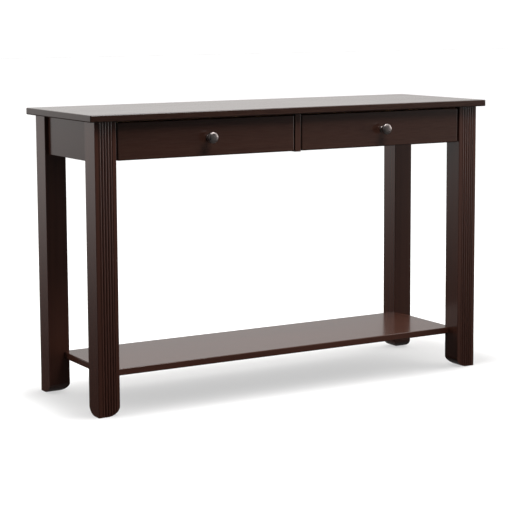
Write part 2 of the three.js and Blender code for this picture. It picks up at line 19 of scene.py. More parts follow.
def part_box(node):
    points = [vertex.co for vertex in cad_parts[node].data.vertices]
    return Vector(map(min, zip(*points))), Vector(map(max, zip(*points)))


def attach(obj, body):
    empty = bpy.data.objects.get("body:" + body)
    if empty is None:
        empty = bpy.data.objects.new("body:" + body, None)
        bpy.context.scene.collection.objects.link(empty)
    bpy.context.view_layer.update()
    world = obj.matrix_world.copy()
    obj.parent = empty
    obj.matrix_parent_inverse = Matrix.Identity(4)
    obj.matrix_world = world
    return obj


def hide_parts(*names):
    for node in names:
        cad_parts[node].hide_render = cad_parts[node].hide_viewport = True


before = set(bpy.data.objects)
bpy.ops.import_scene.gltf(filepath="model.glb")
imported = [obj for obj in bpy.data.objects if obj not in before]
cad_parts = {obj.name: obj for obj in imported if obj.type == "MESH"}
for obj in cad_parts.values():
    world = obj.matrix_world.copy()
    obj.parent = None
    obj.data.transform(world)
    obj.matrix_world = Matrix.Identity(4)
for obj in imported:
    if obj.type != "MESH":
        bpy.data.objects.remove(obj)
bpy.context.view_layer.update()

logging.basicConfig(level=logging.INFO, format="%(message)s")
log = logging.getLogger("console_table")

MM = 0.001
ORIGIN = Vector((0, 0, 0))
EASED = "eased"          # the attribute that marks the faces of rounded edges
FIT = 0.3 * MM           # the play round a tenon, a tongue or a screw
NEAR = 0.01 * MM         # how far apart two places may be and still count as the same
DOUBLE = 0.001 * MM      # the distance up to which two vertices are merged
STRAIGHT = 0.999         # the least share of its length that a parallel edge runs along its axis
SMOOTH_ANGLE = math.radians(35)                             # up to which an edge is shaded smooth
PATTERN_STEP = Vector((1.37, 2.91, 0.73))                   # from one piece's pattern to the next
MIX_SHARE, MIX_FIRST, MIX_SECOND, MIX_RESULT = 0, 6, 7, 2   # a colour Mix node's sockets

Colour = tuple[float, float, float]
Pair = tuple[float, float]
EdgeTest = Callable[[Vector, Vector], bool]


# ---- Named options ---------------------------------------------------------------------------


class Side(Enum):
    """Which half of the table a piece belongs to; the value is the sign of its X."""

    LEFT = -1
    RIGHT = 1

    @property
    def word(self) -> str:
        """The side as it stands in node names."""
        return self.name.lower()


class End(Enum):
    """Front or rear of the table; the value is the sign of its Y."""

    FRONT = -1
    REAR = 1

    @property
    def word(self) -> str:
        """The end as it stands in node names."""
        return self.name.lower()


class Body(Enum):
    """The bodies that move on their own."""

    TABLE = "table"
    LEFT_DRAWER = "left_drawer"
    RIGHT_DRAWER = "right_drawer"


class Grain(Enum):
    """The axis that a board's grain runs along; the value is its index."""

    ALONG_X = 0
    ALONG_Y = 1
    ALONG_Z = 2


class Joining(Enum):
    """How a second solid is joined to a piece."""

    CUT = "DIFFERENCE"
    ADD = "UNION"


class Facing(Enum):
    """The direction that a turned piece points in."""

    UP = (0, 0, 1)
    FRONT = (0, -1, 0)
    RIGHT = (1, 0, 0)
    LEFT = (-1, 0, 0)

    @property
    def turn(self) -> Matrix:
        """The rotation from +Z to this direction."""
        return Vector((0, 0, 1)).rotation_difference(Vector(self.value)).to_matrix().to_4x4()


# ---- Finishes --------------------------------------------------------------------------------


class Wiring:
    """A node tree while it is being wired."""

    def __init__(self, tree: bpy.types.NodeTree) -> None:
        """Takes over a node tree and empties it.

        Args:
            tree: the tree of a material or of the world.
        """
        self.tree = tree
        self.tree.nodes.clear()

    def add(self, kind: str, inputs: dict[str | int, object] | None = None,
            **settings: object) -> bpy.types.Node:
        """Adds a node.

        Args:
            kind: the node's type, without its ShaderNode prefix.
            inputs: values for its unwired sockets, by name or index.
            settings: the node's own properties.

        Returns:
            The new node.
        """
        node = self.tree.nodes.new("ShaderNode" + kind)
        for setting, value in settings.items():
            setattr(node, setting, value)
        for socket, value in (inputs or {}).items():
            node.inputs[socket].default_value = value
        return node

    def wire(self, source: bpy.types.NodeSocket, node: bpy.types.Node, socket: str | int) -> None:
        """Joins an output socket to a node's input.

        Args:
            source: the output that gives the value.
            node: the node that takes it.
            socket: the input's name or index.
        """
        self.tree.links.new(source, node.inputs[socket])

    def math(self, operation: str, *values: object, clamp: bool = False) -> bpy.types.NodeSocket:
        """Adds a Math node.

        Args:
            operation: the name of the operation.
            values: an output socket or a number for each input.
            clamp: whether the result is held between 0 and 1.

        Returns:
            The node's output.
        """
        node = self.add("Math", operation=operation, use_clamp=clamp)
        for index, value in enumerate(values):
            if isinstance(value, bpy.types.NodeSocket):
                self.wire(value, node, index)
            else:
                node.inputs[index].default_value = value
        return node.outputs[0]

    def ramp(self, value: bpy.types.NodeSocket, low: float, high: float,
             out_low: float = 0.0, out_high: float = 1.0) -> bpy.types.NodeSocket:
        """Maps a value smoothly from one range to another.

        Args:
            value: the value to map.
            low: where the smooth step begins.
            high: where it ends.
            out_low: the result at and below low.
            out_high: the result at and above high.

        Returns:
            The mapped value.
        """
        node = self.add("MapRange", {"From Min": low, "From Max": high, "To Min": out_low,
                                     "To Max": out_high}, interpolation_type="SMOOTHSTEP")
        self.wire(value, node, "Value")
        return node.outputs["Result"]

    def blend(self, share: bpy.types.NodeSocket, first: object,
              second: object) -> bpy.types.NodeSocket:
        """Mixes two colours.

        Args:
            share: how much of the second colour there is, from 0 to 1.
            first: an output socket or a colour.
            second: an output socket or a colour.

        Returns:
            The mixed colour.
        """
        node = self.add("Mix", data_type="RGBA")
        self.wire(share, node, MIX_SHARE)
        for index, colour in ((MIX_FIRST, first), (MIX_SECOND, second)):
            if isinstance(colour, bpy.types.NodeSocket):
                self.wire(colour, node, index)
            else:
                node.inputs[index].default_value = (*colour, 1.0)
        return node.outputs[MIX_RESULT]

    def noise(self, place: bpy.types.NodeSocket, detail: float) -> bpy.types.NodeSocket:
        """Adds a noise of one cell per unit of the given place.

        Args:
            place: the coordinates to read it at.
            detail: how many finer layers it has.

        Returns:
            The noise, about 0.5 on average.
        """
        node = self.add("TexNoise", {"Scale": 1.0, "Detail": detail})
        self.wire(place, node, "Vector")
        return node.outputs[0]


@dataclass(frozen=True)
class Finish:
    """What every finish has: a name and the material slot of the record that it stands for."""

    name: str
    slot: str

    def start(self, piece: str) -> tuple[bpy.types.Material, Wiring, bpy.types.Node]:
        """Makes an empty material with its shader wired to the output.

        Args:
            piece: the name of the piece that it is for.

        Returns:
            The material, its wiring and the shader node.
        """
        material = bpy.data.materials.new(f"{self.name}.{piece}")
        material.use_nodes = True
        wiring = Wiring(material.node_tree)
        shader = wiring.add("BsdfPrincipled")
        output = wiring.add("OutputMaterial")
        wiring.wire(shader.outputs[0], output, "Surface")
        return material, wiring, shader


@dataclass(frozen=True)
class WoodFinish(Finish):
    """Wood, stained or bare, with growth bands, fibres and broad patches of tint.

    Lengths are in metres. Across and along are the size of a feature across and along the grain.
    Each edge says where in a noise a smooth step begins and ends.
    """

    pale: Colour
    dark: Colour
    tint: Colour
    band_across: float = 0.016
    band_along: float = 0.55
    fibre_across: float = 0.0011
    fibre_along: float = 0.045
    patch: float = 0.13
    patch_strength: float = 0.5
    fibre_strength: float = 0.35
    roughness: float = 0.5
    roughness_spread: float = 0.06
    relief: float = 0.00006
    specular: float = 0.5
    worn: Colour | None = None
    worn_strength: float = 0.0
    band_detail: int = 3
    fine_detail: int = 2
    growth_edge: Pair = (0.36, 0.66)
    streak_edge: Pair = (0.3, 0.7)
    patch_edge: Pair = (0.35, 0.7)
    sheen_edge: Pair = (0.3, 0.7)

    def shade(self, depth: float, gloss: float = 1.0) -> "WoodFinish":
        """Gives a copy of the stain whose colours carry painted light or painted shade.

        Args:
            depth: the colours' factor; above 1 it paints light, below 1 shade.
            gloss: what the strength of the reflections is multiplied by.

        Returns:
            The finish.
        """
        pale, dark, tint = (tuple(depth * part for part in colour)
                            for colour in (self.pale, self.dark, self.tint))
        return replace(self, pale=pale, dark=dark, tint=tint, specular=gloss * self.specular)

    def place(self, wiring: Wiring, grain: Grain, shift: Vector, across: float,
              along: float) -> bpy.types.NodeSocket:
        """Gives coordinates stretched along the grain.

        Args:
            wiring: the material's wiring.
            grain: the axis that the grain runs along.
            shift: where the pattern is taken from, so that no two boards are alike.
            across: the size of one cell across the grain.
            along: the size of one cell along the grain.

        Returns:
            The coordinates.
        """
        scale = [1 / across] * 3
        scale[grain.value] = 1 / along
        coordinates = wiring.add("TexCoord")
        mapping = wiring.add("Mapping", {"Location": shift * (1 / along), "Scale": scale})
        wiring.wire(coordinates.outputs["Object"], mapping, "Vector")
        return mapping.outputs[0]

    def material(self, piece: str, grain: Grain, shift: Vector) -> bpy.types.Material:
        """Makes the material of one board.

        Args:
            piece: the board's name.
            grain: the axis that its grain runs along.
            shift: where its pattern is taken from.

        Returns:
            The material.
        """
        material, wiring, shader = self.start(piece)
        bands, fibres, patches = (
            wiring.noise(self.place(wiring, grain, shift, across, along), detail)
            for across, along, detail in (
                (self.band_across, self.band_along, self.band_detail),
                (self.fibre_across, self.fibre_along, self.fine_detail),
                (self.patch, 2 * self.patch, self.fine_detail),
            )
        )
        growth = wiring.ramp(bands, *self.growth_edge)
        streaks = wiring.ramp(fibres, *self.streak_edge)
        share = wiring.math("MULTIPLY_ADD", streaks, self.fibre_strength, growth, clamp=True)
        colour = wiring.blend(share, self.pale, self.dark)
        tinted = wiring.ramp(patches, *self.patch_edge, 0.0, self.patch_strength)
        colour = wiring.blend(tinted, colour, self.tint)
        if self.worn:
            eased = wiring.add("Attribute", attribute_name=EASED)
            rubbed = wiring.math("MULTIPLY", eased.outputs["Fac"], self.worn_strength)
            colour = wiring.blend(wiring.math("MULTIPLY", rubbed, streaks), colour, self.worn)
        wiring.wire(colour, shader, "Base Color")

        sheen = wiring.ramp(patches, *self.sheen_edge, self.roughness - self.roughness_spread,
                            self.roughness + self.roughness_spread)
        wiring.wire(sheen, shader, "Roughness")
        shader.inputs["Specular IOR Level"].default_value = self.specular
        bump = wiring.add("Bump", {"Strength": 1.0, "Distance": self.relief})
        wiring.wire(fibres, bump, "Height")
        wiring.wire(bump.outputs[0], shader, "Normal")
        return material


@dataclass(frozen=True)
class MetalFinish(Finish):
    """Metal with cloudy tarnish and fine pitting. Lengths are in metres.

    Each edge says where in a noise a smooth step begins and ends.
    """

    bright: Colour
    dull: Colour
    cloud: float = 0.006
    pit: float = 0.0004
    roughness: float = 0.34
    roughness_spread: float = 0.08
    relief: float = 0.00001
    detail: int = 2
    cloud_edge: Pair = (0.35, 0.65)
    sheen_edge: Pair = (0.3, 0.7)

    def material(self, piece: str, grain: Grain, shift: Vector) -> bpy.types.Material:
        """Makes the material of one metal piece.

        Args:
            piece: the piece's name.
            grain: not used, since metal has none.
            shift: where its pattern is taken from.

        Returns:
            The material.
        """
        material, wiring, shader = self.start(piece)
        coordinates = wiring.add("TexCoord")
        layers = []
        for size in (self.cloud, self.pit):
            mapping = wiring.add("Mapping", {"Location": shift, "Scale": [1 / size] * 3})
            wiring.wire(coordinates.outputs["Object"], mapping, "Vector")
            layers.append(wiring.noise(mapping.outputs[0], self.detail))
        clouds, pits = layers
        share = wiring.ramp(clouds, *self.cloud_edge)
        wiring.wire(wiring.blend(share, self.bright, self.dull), shader, "Base Color")
        sheen = wiring.ramp(clouds, *self.sheen_edge, self.roughness - self.roughness_spread,
                            self.roughness + self.roughness_spread)
        wiring.wire(sheen, shader, "Roughness")
        shader.inputs["Metallic"].default_value = 1.0
        bump = wiring.add("Bump", {"Strength": 1.0, "Distance": self.relief})
        wiring.wire(pits, bump, "Height")
        wiring.wire(bump.outputs[0], shader, "Normal")
        return material


ESPRESSO = WoodFinish(
    "espresso", "espresso_lacquer",
    pale=(0.054, 0.0208, 0.0142), dark=(0.047, 0.0182, 0.0127), tint=(0.057, 0.0200, 0.0132),
    patch_strength=0.3, fibre_strength=0.15, roughness=0.18, roughness_spread=0.004, relief=0.0,
    worn=(0.050, 0.026, 0.018), worn_strength=0.4,
)
# Copies of the one lacquer for each kind of board. Their colour factor is painted light on the
# shelf
# and painted shade on the top, the aprons, the frame and the drawer fronts; the gloss sets
# reflections.
TOP_LACQUER_SHADED = ESPRESSO.shade(0.4, gloss=0.88)
SHELF_LACQUER_LIT = ESPRESSO.shade(1.15)
LEG_LACQUER = ESPRESSO.shade(1.0, gloss=1.15)
APRON_LACQUER_SHADED = ESPRESSO.shade(0.55, gloss=0.85)
FRAME_LACQUER_SHADED = ESPRESSO.shade(0.8)
FRONT_LACQUER_SHADED = ESPRESSO.shade(0.62)
BARE_HARDWOOD = WoodFinish(
    "hardwood", "bare_hardwood",
    pale=(0.47, 0.29, 0.145), dark=(0.33, 0.185, 0.085), tint=(0.42, 0.245, 0.12),
    roughness=0.62, relief=0.00005,
)
PLYWOOD = WoodFinish(
    "plywood", "plywood_panel",
    pale=(0.56, 0.37, 0.20), dark=(0.42, 0.255, 0.125), tint=(0.50, 0.32, 0.17),
    band_across=0.03, band_along=0.35, roughness=0.58, relief=0.00003,
)
GUNMETAL = MetalFinish(
    "gunmetal", "knob_metal", bright=(0.30, 0.262, 0.252), dull=(0.215, 0.187, 0.18),
)
ZINC = MetalFinish(
    "zinc", "zinc_screw", bright=(0.62, 0.62, 0.60), dull=(0.44, 0.45, 0.44), cloud=0.003,
)


# ---- The bench -------------------------------------------------------------------------------


class Workpiece:
    """One solid on the bench. Its object stays at the origin, with its place in its mesh."""

    made = 0

    def __init__(self, name: str, thing: bpy.types.Object) -> None:
        """Names a new object and moves its place into its mesh.

        Args:
            name: the piece's name.
            thing: the object, just added or copied.
        """
        self.name = name
        self.thing = thing
        thing.name = name
        thing.data.name = name
        self.activate()
        bpy.ops.object.transform_apply(location=True, rotation=True, scale=True)

    @staticmethod
    def clear_bench() -> None:
        """Leaves edit mode and selects nothing."""
        if bpy.context.object and bpy.context.object.mode != "OBJECT":
            bpy.ops.object.mode_set(mode="OBJECT")
        bpy.ops.object.select_all(action="DESELECT")

    @classmethod
    def block(cls, name: str, low: Sequence[float], high: Sequence[float]) -> "Workpiece":
        """Adds a plain board to work on.

        Args:
            name: the piece's name.
            low: its lowest corner.
            high: its highest corner.

        Returns:
            The board.
        """
        low, high = Vector(low), Vector(high)
        cls.clear_bench()
        bpy.ops.mesh.primitive_cube_add(size=1, location=(low + high) / 2)
        bpy.ops.transform.resize(value=high - low)
        return cls(name, bpy.context.object)

    @classmethod
    def rod(cls, name: str, foot: Vector, facing: Facing, radius: Sequence[float], length: float,
            facets: int) -> "Workpiece":
        """Adds a rod, which may be flattened in section.

        Args:
            name: the piece's name.
            foot: the middle of its near end.
            facing: the direction that it runs in.
            radius: the half widths of its section, before it is turned to its direction.
            length: how long it is.
            facets: how many sides it has.

        Returns:
            The rod.
        """
        cls.clear_bench()
        bpy.ops.mesh.primitive_cylinder_add(vertices=facets, radius=1, depth=1)
        thing = bpy.context.object
        lying = Matrix.Diagonal((radius[0], radius[1], length, 1)) @ Matrix.Translation((0, 0, 0.5))
        thing.matrix_world = Matrix.Translation(foot) @ facing.turn @ lying
        return cls(name, thing)

    @classmethod
    def turned(cls, name: str, profile: Sequence[Pair], foot: Vector, facing: Facing,
               facets: int) -> "Workpiece":
        """Turns a solid from a profile, ring by ring, and closes it at a pole.

        Args:
            name: the piece's name.
            profile: pairs of radius and height, rising from the foot to a tip on the axis.
            foot: where the profile's origin lies.
            facing: the direction that its axis points in.
            facets: how many sides it has.

        Returns:
            The solid.
        """
        cls.clear_bench()
        radius, height = profile[0]
        bpy.ops.mesh.primitive_circle_add(vertices=facets, radius=radius, fill_type="NGON",
                                          location=(0, 0, height))
        thing = bpy.context.object
        bpy.ops.object.transform_apply(location=True, rotation=True, scale=True)
        bpy.ops.object.mode_set(mode="EDIT")
        bpy.ops.mesh.select_mode(type="FACE")
        bpy.ops.mesh.select_all(action="SELECT")
        for next_radius, next_height in profile[1:]:
            rise = (0, 0, next_height - height)
            bpy.ops.mesh.extrude_region_move(TRANSFORM_OT_translate={"value": rise})
            if next_radius:
                scale = next_radius / radius
                bpy.ops.transform.resize(value=(scale, scale, 1),
                                         center_override=(0, 0, next_height))
                radius = next_radius
            height = next_height
        bpy.ops.mesh.merge(type="CENTER")
        bpy.ops.object.mode_set(mode="OBJECT")
        thing.matrix_world = Matrix.Translation(foot) @ facing.turn
        piece = cls(name, thing)
        piece.true_normals()
        return piece

    def copy(self, name: str) -> "Workpiece":
        """Copies the piece with a mesh of its own.

        Args:
            name: the copy's name.

        Returns:
            The copy.
        """
        self.activate()
        bpy.ops.object.duplicate(linked=False)
        return Workpiece(name, bpy.context.object)

    def activate(self) -> None:
        """Makes this the one selected and active object."""
        self.clear_bench()
        self.thing.select_set(True)
        bpy.context.view_layer.objects.active = self.thing

    def edit(self, mode: str) -> bmesh.types.BMesh:
        """Opens the piece in edit mode with nothing selected.

        Args:
            mode: what is selected there: VERT, EDGE or FACE.

        Returns:
            The mesh under edit.
        """
        self.activate()
        bpy.ops.object.mode_set(mode="EDIT")
        bpy.ops.mesh.select_mode(type=mode)
        bpy.ops.mesh.select_all(action="DESELECT")
        return bmesh.from_edit_mesh(self.thing.data)

    def pick_edges(self, wanted: EdgeTest) -> None:
        """Selects edges.

        Args:
            wanted: a test of an edge's two ends.
        """
        for edge in self.edit("EDGE").edges:
            edge.select_set(wanted(edge.verts[0].co, edge.verts[1].co))

    def close(self) -> None:
        """Leaves edit mode."""
        bpy.ops.object.mode_set(mode="OBJECT")

    def ease(self, wanted: EdgeTest, radius: float, facets: int) -> "Workpiece":
        """Rounds edges over, and marks the new faces as eased.

        Args:
            wanted: a test of an edge's two ends.
            radius: the radius of the round.
            facets: how many faces make it up.

        Returns:
            This piece.
        """
        self.pick_edges(wanted)
        bpy.ops.mesh.bevel(offset=radius, segments=facets, profile=0.5, affect="EDGES")
        mesh = bmesh.from_edit_mesh(self.thing.data)
        mark = mesh.faces.layers.float.get(EASED) or mesh.faces.layers.float.new(EASED)
        for face in mesh.faces:
            if face.select:
                face[mark] = 1.0
        self.close()
        return self

    def combine(self, tool: "Workpiece", how: Joining) -> "Workpiece":
        """Cuts the piece with another solid, or joins the two, and uses the other up.

        Args:
            tool: the other solid.
            how: what is done with it.

        Returns:
            This piece.
        """
        modifier = self.thing.modifiers.new(how.name, "BOOLEAN")
        modifier.operation = how.value
        modifier.solver = "EXACT"
        modifier.object = tool.thing
        self.activate()
        bpy.ops.object.modifier_apply(modifier=modifier.name)
        bpy.data.objects.remove(tool.thing)
        return self

    def join_block(self, low: Sequence[float], high: Sequence[float]) -> "Workpiece":
        """Joins a block on, such as a tenon.

        Args:
            low: the block's lowest corner.
            high: its highest corner.

        Returns:
            This piece.
        """
        return self.combine(Workpiece.block("joined", low, high), Joining.ADD)

    def cut_block(self, low: Sequence[float], high: Sequence[float],
                  spare: float = 0.0) -> "Workpiece":
        """Cuts a block out, such as a mortise or a groove.

        Args:
            low: the block's lowest corner.
            high: its highest corner.
            spare: how much larger the cut is on every side.

        Returns:
            This piece.
        """
        room = Vector((spare, spare, spare))
        tool = Workpiece.block("cut", Vector(low) - room, Vector(high) + room)
        return self.combine(tool, Joining.CUT)

    def mirrored(self) -> "Workpiece":
        """Turns the piece into its mirror image across the middle of the table.

        Returns:
            This piece.
        """
        self.edit("VERT")
        bpy.ops.mesh.select_all(action="SELECT")
        bpy.ops.transform.resize(value=(-1, 1, 1), center_override=ORIGIN)
        self.close()
        self.true_normals()
        return self

    def true_normals(self) -> None:
        """Merges doubles and turns every face outwards."""
        self.edit("VERT")
        bpy.ops.mesh.select_all(action="SELECT")
        bpy.ops.mesh.remove_doubles(threshold=DOUBLE)
        bpy.ops.mesh.normals_make_consistent(inside=False)
        self.close()

    def finish(self, finish: WoodFinish | MetalFinish, body: Body,
               grain: Grain = Grain.ALONG_X) -> None:
        """Shades and dresses the piece, and lets it stand for its node on its body.

        Args:
            finish: what it is finished in.
            body: the body that it rides on.
            grain: the axis that its grain runs along.
        """
        self.activate()
        bpy.ops.object.shade_smooth_by_angle(angle=SMOOTH_ANGLE)
        weighting = self.thing.modifiers.new("weighted", "WEIGHTED_NORMAL")
        weighting.keep_sharp = True
        bpy.ops.object.modifier_apply(modifier=weighting.name)
        Workpiece.made += 1
        shift = PATTERN_STEP * Workpiece.made
        self.thing.data.materials.clear()
        self.thing.data.materials.append(finish.material(self.name, grain, shift))
        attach(self.thing, body.value)
        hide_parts(self.name)
        self.thing.name = self.name + ".look"
        log.info("%s: %d faces", self.thing.name, len(self.thing.data.polygons))

    def finish_pair(self, finish: WoodFinish | MetalFinish, grain: Grain = Grain.ALONG_X,
                    bodies: tuple[Body, Body] = (Body.TABLE, Body.TABLE)) -> None:
        """Finishes a right-hand piece and a mirrored copy of it for the left.

        Args:
            finish: what both are finished in.
            grain: the axis that their grain runs along.
            bodies: what the left and the right one ride on.
        """
        twin = self.copy(self.name.replace(Side.RIGHT.word, Side.LEFT.word)).mirrored()
        twin.finish(finish, bodies[0], grain=grain)
        self.finish(finish, bodies[1], grain=grain)


def parallel(axis: Grain) -> EdgeTest:
    """Gives a test for edges that run along one axis.

    Args:
        axis: the axis.

    Returns:
        The test, which takes an edge's two ends.
    """

    def test(a: Vector, b: Vector) -> bool:
        """Compares the edge's direction with the axis."""
        along = b - a
        return abs(along[axis.value]) > STRAIGHT * along.length

    return test


def every_edge(a: Vector, b: Vector) -> bool:
    """Passes all edges."""
    return True


# ---- Boards ----------------------------------------------------------------------------------


def sawn_board(node: str, radius: float = 0.8 * MM, facets: int = 2) -> Workpiece:
    """Makes a plain board that fills a node's box, all its edges eased.

    Args:
        node: the node.
        radius: the radius of the edges.
        facets: how many faces make up each.

    Returns:
        The board.
    """
    low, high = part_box(node)
    return Workpiece.block(node, low, high).ease(every_edge, radius, facets)


@dataclass
class TenonedBoard:
    """A board held at both ends by tenons in the legs. Its long edges are eased."""

    node: str
    length: Grain
    thickness: Grain
    width: Grain
    shoulder: float
    tenon_length: float = 20 * MM
    tenon_thickness: float = 8 * MM
    radius: float = 1.2 * MM
    facets: int = 3

    def tenons(self) -> tuple[Vector, Vector]:
        """Gives the block whose two ends are the tenons.

        Returns:
            Its lowest and its highest corner.
        """
        low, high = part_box(self.node)
        middle = (low + high) / 2
        low[self.thickness.value] = middle[self.thickness.value] - self.tenon_thickness / 2
        high[self.thickness.value] = middle[self.thickness.value] + self.tenon_thickness / 2
        low[self.width.value] += self.shoulder
        high[self.width.value] -= self.shoulder
        return low, high

    def build(self) -> Workpiece:
        """Makes the board with its tenons, without dressing it.

        Returns:
            The board.
        """
        low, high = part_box(self.node)
        low[self.length.value] += self.tenon_length
        high[self.length.value] -= self.tenon_length
        piece = Workpiece.block(self.node, low, high)
        piece.ease(parallel(self.length), self.radius, self.facets)
        return piece.join_block(*self.tenons())


SIDE_APRON = TenonedBoard("right_apron", Grain.ALONG_Y, Grain.ALONG_X, Grain.ALONG_Z, 12 * MM)
REAR_APRON = TenonedBoard("rear_apron", Grain.ALONG_X, Grain.ALONG_Y, Grain.ALONG_Z, 12 * MM)
TOP_RAIL = TenonedBoard("front_top_rail", Grain.ALONG_X, Grain.ALONG_Z, Grain.ALONG_Y, 6 * MM)
BOTTOM_RAIL = TenonedBoard("front_bottom_rail", Grain.ALONG_X, Grain.ALONG_Z, Grain.ALONG_Y, 6 * MM)


@dataclass
class TableTop:
    """The top, with its edges and corners rounded over alike."""

    edge_radius: float = 3 * MM
    edge_facets: int = 8

    def build(self) -> None:
        """Makes and dresses the top."""
        piece = sawn_board("tabletop", self.edge_radius, self.edge_facets)
        piece.finish(TOP_LACQUER_SHADED, Body.TABLE)


@dataclass
class LowerShelf:
    """The shelf. Its corners are thinned, housed in the legs and pinned with dowels."""

    edge_radius: float = 2.5 * MM
    edge_facets: int = 6
    tenon_thickness: float = 12 * MM
    dowel_chamfer: float = 1 * MM
    chamfer_facets: int = 2
    dowel_facets: int = 24

    def tenon(self, side: Side, end: End) -> tuple[Vector, Vector]:
        """Gives the corners of the part of the shelf that a leg takes.

        Args:
            side: the leg's side.
            end: the leg's end.

        Returns:
            The lowest and the highest corner.
        """
        shelf_low, shelf_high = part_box("lower_shelf")
        low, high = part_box(f"{end.word}_{side.word}_leg")
        low = Vector(map(max, low, shelf_low))
        high = Vector(map(min, high, shelf_high))
        middle = (shelf_low.z + shelf_high.z) / 2
        low.z, high.z = middle - self.tenon_thickness / 2, middle + self.tenon_thickness / 2
        return low, high

    def build(self) -> None:
        """Makes and dresses the shelf and its dowels."""
        low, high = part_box("lower_shelf")
        piece = Workpiece.block("lower_shelf", low, high)
        piece.ease(lambda a, b: abs(a.z - b.z) < NEAR, self.edge_radius, self.edge_facets)
        for side in Side:
            for end in End:
                tenon_low, tenon_high = self.tenon(side, end)
                room = Vector((FIT, FIT, 0))
                over = Vector((tenon_low.x, tenon_low.y, tenon_high.z)) - room
                under = Vector((tenon_high.x, tenon_high.y, tenon_low.z)) + room
                piece.cut_block(over, Vector((under.x, under.y, high.z + FIT)))
                piece.cut_block(Vector((over.x, over.y, low.z - FIT)), under)
        piece.finish(SHELF_LACQUER_LIT, Body.TABLE)
        for end in End:
            self.dowel(end).finish_pair(BARE_HARDWOOD)

    def dowel(self, end: End) -> Workpiece:
        """Makes the dowel that pins one right-hand corner.

        Args:
            end: the corner's end.

        Returns:
            The dowel.
        """
        node = f"{end.word}_{Side.RIGHT.word}_shelf_dowel"
        low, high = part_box(node)
        radius = (high.z - low.z) / 2
        foot = Vector((low.x, (low.y + high.y) / 2, (low.z + high.z) / 2))
        pin = Workpiece.rod(node, foot, Facing.RIGHT, (radius, radius), high.x - low.x,
                            self.dowel_facets)
        return pin.ease(lambda a, b: abs(a.x - b.x) < NEAR, self.dowel_chamfer, self.chamfer_facets)


